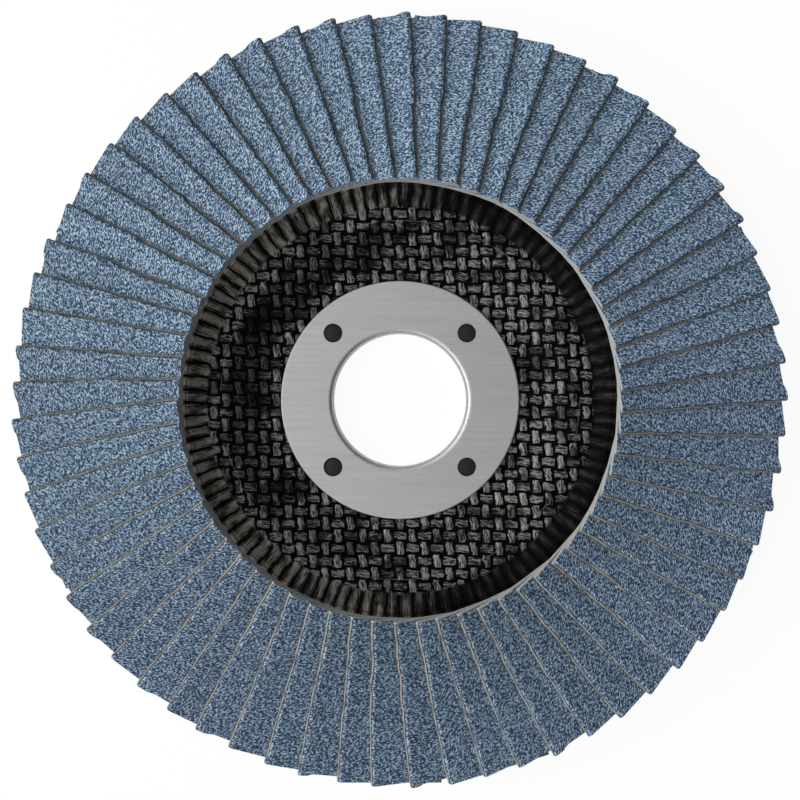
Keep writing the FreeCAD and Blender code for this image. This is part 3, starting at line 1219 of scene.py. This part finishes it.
@dataclass
class FlapFan:
    """Overlapping flaps of abrasive cloth, each with one long edge on show."""

    count: int = 65
    fan_turn: float = 3.0
    edge_offset: float = 4.9
    length: float = 27.2
    width: float = 17.0
    thickness: float = 1.06
    rise: float = 1.25
    seat: float = 6.6
    disc_radius: float = 62.5
    turn_scatter: float = 0.22
    end_skew: Pair = (3.3, 0.9)
    end_margin: float = 0.12
    notch_depth: Pair = (0.25, 0.55)
    notch_place: Pair = (1.6, 2.8)
    notch_softness: float = 0.22
    notch_short: float = 0.6
    inner_start: Pair = (-0.18, 0.25)
    edge_wave: Pair = (0.02, 0.06)
    edge_turns: Pair = (0.42, 0.95)
    edge_taper: Pair = (3.0, 0.2)
    kink_place: Pair = (9.0, 15.0)
    kink_size: Pair = (-0.03, 0.19)
    kink_length: Pair = (0.3, 0.7)
    fray: float = 0.045
    loose_width: float = 6.5
    overhang: float = 0.14
    cut_slant: float = 0.14
    slant_width: float = 0.7
    shoulder: float = 0.22
    shoulder_width: float = 0.24
    ripple: float = 0.025
    ripple_turns: Pair = (0.55, 0.7)
    ripple_phase: float = 6.0
    column_power: float = 2.2
    grain_turn: Pair = (30.0, 13.0)
    tone_scatter: float = 0.05
    seed_step: float = 7.3
    rows: int = 78
    columns: int = 28
    sharp_degrees: float = 40.0

    @property
    def pitch(self) -> float:
        """Angle from one flap to the next, in degrees."""
        return 360 / self.count

    def underside(self, x: np.ndarray, y: np.ndarray) -> np.ndarray:
        """Height of the underside: one rise for each pitch of angle from the hidden edge.

        The hidden edge is a straight line, whose angle at each radius is an arc cosine.

        Args:
            x: X of each place.
            y: Y of each place.

        Returns:
            The heights.
        """
        radius = np.hypot(x, y)
        hidden = np.degrees(np.arccos(np.clip((self.edge_offset - self.width) / radius, -1, 1)))
        return self.seat + self.rise * (hidden - np.degrees(np.arctan2(y, x))) / self.pitch

    def edge_line(self, along: np.ndarray, rng: np.random.Generator) -> np.ndarray:
        """How far the cut edge strays sideways: two slow waves, one short kink near the middle and a fray.

        Args:
            along: distance from the inner end.
            rng: the flap's own random numbers.

        Returns:
            The sideways offsets.
        """
        phase = rng.uniform(0, 2 * np.pi, 2)
        size = rng.uniform(*self.edge_wave, 2)
        kink_place = rng.uniform(*self.kink_place)
        kink = rng.uniform(*self.kink_size) * np.tanh((along - kink_place) / rng.uniform(*self.kink_length))
        fray = np.convolve(rng.normal(0, self.fray, self.rows), (0.25, 0.5, 0.25), mode="same")[:, None]
        wave = sum(size[n] * np.sin(along * self.edge_turns[n] + phase[n]) for n in range(2))
        taper = np.clip((self.length - along) / self.edge_taper[0], self.edge_taper[1], 1)
        return (wave + kink) * taper + fray

    def spread(self, rng: np.random.Generator) -> tuple[np.ndarray, np.ndarray, np.ndarray]:
        """Places of a flap's grid points before they are raised.

        Across the flap the distance from the edge on show grows as a power of the column, so that the strip
        on show has the most columns.  The outer end is cut askew, and on some flaps it steps down by a soft
        notch, a logistic curve over that distance.

        Args:
            rng: the flap's own random numbers.

        Returns:
            Distance across from the edge on show, distance along from the inner end, and the inner end's Y.
        """
        tip = math.sqrt(self.disc_radius ** 2 - self.edge_offset ** 2)
        across_line = self.width * np.linspace(0, 1, self.columns) ** self.column_power
        share, across = np.meshgrid(np.linspace(0, 1, self.rows), across_line, indexing="ij")
        end_slope = math.tan(math.radians(self.end_skew[0] + rng.normal(0, self.end_skew[1])))
        depth = rng.choice((0.0, 1.0)) * rng.uniform(*self.notch_depth)
        notch = depth / (1 + np.exp((across - rng.uniform(*self.notch_place)) / self.notch_softness))
        short = self.end_margin + notch.max() * self.notch_short
        span = self.length - short - across * max(end_slope, 0.0) + notch
        start = tip - self.length + self.inner_start[0] + rng.uniform(0, self.inner_start[1])
        return across, share * span, start

    def flap(self, index: int, turns: np.ndarray) -> Skin:
        """One flap as a closed sheet.

        The underside lies on the fan's climbing surface, and the face stands off it by the thickness along
        the sheet's own normal.  Near the edge on show the face drops and slants back as bell curves.

        Args:
            index: place in the fan, from 0.
            turns: angle of every flap, in degrees.

        Returns:
            The sheet in the disc's frame, with the values that its finishes read.
        """
        rng = np.random.default_rng(SEED * 1000 + index)
        across, along, start = self.spread(rng)
        near = np.clip(1 - across / self.loose_width, 0, 1)
        x = self.edge_offset - across - self.overhang * near + self.edge_line(along, rng) * near
        y = start + along
        under = np.stack((x, y, self.underside(x, y)), axis=-1)
        normal = np.cross(np.gradient(under, axis=1), np.gradient(under, axis=0))
        normal /= np.linalg.norm(normal, axis=-1, keepdims=True)
        normal *= np.sign(normal[..., 2:3])
        drop = self.shoulder * bell(across, self.shoulder_width)
        ripple = self.ripple * np.sin(along * self.ripple_turns[0] + rng.uniform(0, self.ripple_phase))
        ripple = ripple * np.cos(across * self.ripple_turns[1] + rng.uniform(0, self.ripple_phase))
        face = under + normal * (self.thickness - drop + ripple * near)[..., None]
        face[..., 0] -= self.cut_slant * bell(across, self.slant_width)
        points = np.concatenate((under.reshape(-1, 3), face.reshape(-1, 3)))
        to_next = math.radians(turns[(index + 1) % self.count] - turns[index])
        carried = self._carried(points, across, to_next, index, rng)
        own = math.radians(turns[index])
        turned = np.stack((*rotated(points[:, 0], points[:, 1], own), points[:, 2]), axis=-1)
        return Skin(turned, *self._sheet_quads(), carried)

    def _carried(
        self, points: np.ndarray, across: np.ndarray, to_next: float, index: int, rng: np.random.Generator,
    ) -> dict[str, np.ndarray]:
        """Values that a flap's finishes read at its points.

        Args:
            points: the flap's points before it is turned, the underside's and then the face's.
            across: distance of the grid's points from the edge on show.
            to_next: angle to the next flap, whose edge covers this one.
            index: place in the fan.
            rng: the flap's own random numbers.

        Returns:
            Arrays by the attribute's name.
        """
        a, b = points[:, 0], points[:, 1]
        along_cover, _ = rotated(a, b, -to_next)
        grain_across, grain_along = rotated(b, a, math.radians(rng.normal(*self.grain_turn)))
        seed = np.full(len(points), index * self.seed_step)
        ends = np.zeros(across.shape)
        ends[0] = 1.0
        return {
            "grain_place": np.stack((grain_across, grain_along, seed), axis=-1),
            "cloth_place": np.stack((a, b, seed), axis=-1),
            "from_cover": along_cover - self.edge_offset + self.overhang,
            "from_edge": np.tile(across.ravel(), 2),
            "layer": np.repeat((0.0, 1.0), across.size),
            "inner_end": np.tile(ends.ravel(), 2),
            "tone": np.full(len(points), rng.normal(1.0, self.tone_scatter)),
        }

    def _sheet_quads(self) -> tuple[np.ndarray, np.ndarray]:
        """Quads of the underside, the face and the four cut sides.

        Returns:
            Four point numbers in each row, and the finish of each quad: 0 on the face and 1 elsewhere.
        """
        row, column = np.meshgrid(np.arange(self.rows - 1), np.arange(self.columns - 1), indexing="ij")
        first = (row * self.columns + column).ravel()
        grid = np.stack((first, first + 1, first + self.columns + 1, first + self.columns), axis=-1)
        total = self.rows * self.columns
        loop = np.concatenate((
            np.arange(self.columns),
            np.arange(1, self.rows) * self.columns + self.columns - 1,
            (self.rows - 1) * self.columns + np.arange(self.columns - 2, -1, -1),
            np.arange(self.rows - 2, 0, -1) * self.columns,
        ))
        after = np.roll(loop, -1)
        hem = np.stack((after, loop, loop + total, after + total), axis=-1)
        quads = np.concatenate((grid, grid[:, ::-1] + total, hem))
        finish = np.concatenate((np.ones(len(grid)), np.zeros(len(grid)), np.ones(len(hem))))
        return quads, finish

    def build(self) -> None:
        """Makes one piece for each of the frame's flap nodes and dresses it."""
        materials = [AbrasiveGrain().material(), ClothEdge().material()]
        scatter = np.random.default_rng(SEED).uniform(-self.turn_scatter, self.turn_scatter, self.count)
        turns = self.fan_turn + np.arange(self.count) * self.pitch + scatter
        for node in sorted(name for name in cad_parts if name.startswith("flap")):
            numbers = [int(word) for word in node.split("_")[1:]]
            skin = Skin.joined([self.flap(number - 1, turns) for number in numbers])
            piece = skin.piece(node.replace("flap", "cloth_flap"), materials, self.sharp_degrees)
            place(piece, Slot.CLOTH, node)


@dataclass
class Studio:
    """Pale floor, soft light from the left, and a camera straight above the bore."""

    camera_height: float = 215.7
    lens: float = 57.24
    sensor: float = 36.0
    clip: Pair = (0.01, 20.0)
    floor_radii: Pair = (0.5, 2500.0)
    floor_turns: int = 64
    paper: float = 0.92
    glow_share: float = 0.86
    key_direction: Triple = (-0.62, -0.12, 0.80)
    key_level: float = 0.09
    fill_direction: Triple = (-0.90, -0.06, 0.44)
    fill_level: float = 1.20
    lamp_distance: float = 750.0
    lamp_size: float = 1000.0
    ambient: float = 0.24
    ambient_least: float = 0.06
    lean_x: float = 0.40
    lean_y: float = 0.03
    glow_start: float = 0.35
    left_glow: float = 0.45
    mirror_gain: float = 1.15
    white: float = 1.055

    def build(self) -> None:
        """Makes the floor, the lamps, the world and the camera."""
        self._floor()
        self._lamp("key", self.key_direction, self.key_level, True)
        self._lamp("fill", self.fill_direction, self.fill_level, False)
        self._world()
        self._camera()

    def _floor(self) -> None:
        """A flat disc at the height of the hub's back, white to the camera but for the disc's soft shadow."""
        outline = np.array([(radius, 0.0) for radius in self.floor_radii])
        points = np.stack(revolved(outline, self.floor_turns), axis=-1).reshape(-1, 3)
        quads = ring_quads(2, self.floor_turns)[:self.floor_turns, ::-1]
        material, g = new_graph("studio_floor")
        paper = g.add("ShaderNodeBsdfDiffuse", {}, {"Color": (self.paper, self.paper, self.paper, 1.0)})
        glow = g.add("ShaderNodeEmission", {}, {"Color": WHITE, "Strength": self.white})
        seen = g.add("ShaderNodeLightPath", output="Is Camera Ray")
        mixed = g.add("ShaderNodeMixShader", {}, {0: seen * self.glow_share, 1: paper, 2: glow})
        behind = g.add("ShaderNodeNewGeometry", output="Backfacing")
        clear = g.add("ShaderNodeBsdfTransparent")
        g.close(g.add("ShaderNodeMixShader", {}, {0: behind, 1: mixed, 2: clear}))
        skin = Skin(points, quads, np.zeros(len(quads)), {})
        skin.piece("studio_floor", [material], 30)

    def _lamp(self, name: str, towards: Sequence[float], level: float, shadows: bool) -> None:
        """A square soft box that faces the disc.

        Args:
            name: the lamp's name.
            towards: direction from the disc to the lamp.
            level: its share of the light on a white surface that faces it.
            shadows: whether the disc shades itself from it; a fill light has none.
        """
        direction = Vector(towards).normalized()
        data = bpy.data.lights.new(name, "AREA")
        data.shape = "SQUARE"
        data.size = self.lamp_size * MM
        data.energy = level * math.pi ** 2 * (self.lamp_distance * MM) ** 2
        data.use_shadow = shadows
        lamp = bpy.data.objects.new(name, data)
        lamp.location = direction * self.lamp_distance * MM
        lamp.rotation_euler = direction.to_track_quat("Z", "Y").to_euler()
        lamp.visible_glossy = False
        bpy.context.scene.collection.objects.link(lamp)

    def _world(self) -> None:
        """White to the camera; as light it is brighter to the left, and in the metal's reflections."""
        world = bpy.data.worlds.new("studio")
        g = Graph(world)
        x, y, _ = g.split(g.add("ShaderNodeTexCoord", output="Generated"))
        seen = g.add("ShaderNodeLightPath", output="Is Camera Ray")
        slanted = g.math("MAXIMUM", self.ambient - x * self.lean_x - y * self.lean_y, self.ambient_least)
        slanted = slanted + g.math("MAXIMUM", -self.glow_start - x, 0.0) * self.left_glow
        mirrored = g.add("ShaderNodeLightPath", output="Is Glossy Ray")
        slanted = slanted * (1.0 + mirrored * self.mirror_gain)
        level = slanted + seen * (1.0 - slanted)
        g.close(g.add("ShaderNodeBackground", {}, {"Color": WHITE, "Strength": level}))
        bpy.context.scene.world = world

    def _camera(self) -> None:
        """Looks straight down the bore's axis."""
        data = bpy.data.cameras.new("camera")
        data.lens = self.lens
        data.sensor_width = self.sensor
        data.clip_start, data.clip_end = self.clip
        camera = bpy.data.objects.new("camera", data)
        camera.location = (0, 0, self.camera_height * MM)
        bpy.context.scene.collection.objects.link(camera)
        bpy.context.scene.camera = camera


def place(piece: bpy.types.Object, slot: Slot, node: str) -> None:
    """Puts a piece on the disc's one body, in the place of a node of the frame.

    Args:
        piece: the new piece.
        slot: the record's slot that it stands in; not used.
        node: the node that it stands for.
    """
    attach(piece, BODY)
    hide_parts(node)
    triangles = sum(len(polygon.vertices) - 2 for polygon in piece.data.polygons)
    log.info("%s stands for %s with %d triangles", piece.name, node, triangles)


def dress_adhesive(threads: WovenGlass) -> None:
    """Gives the frame's own bed of adhesive the threads that the plate's wall presses up into it.

    Args:
        threads: the plate's own finish.
    """
    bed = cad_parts["adhesive_ring"]
    bed.data.materials.clear()
    bed.data.materials.append(threads.material())
    log.info("adhesive_ring dressed")


def main() -> None:
    """Builds the disc's pieces and the studio."""
    logging.basicConfig(level=logging.INFO, format="%(name)s: %(message)s")
    plate = BackingPlate()
    plate.build()
    CentreRing().build()
    dress_adhesive(plate.glass())
    FlapFan().build()
    scene = bpy.context.scene
    scene.view_settings.view_transform = "Standard"
    Studio().build()


if __name__ == "__main__":
    main()
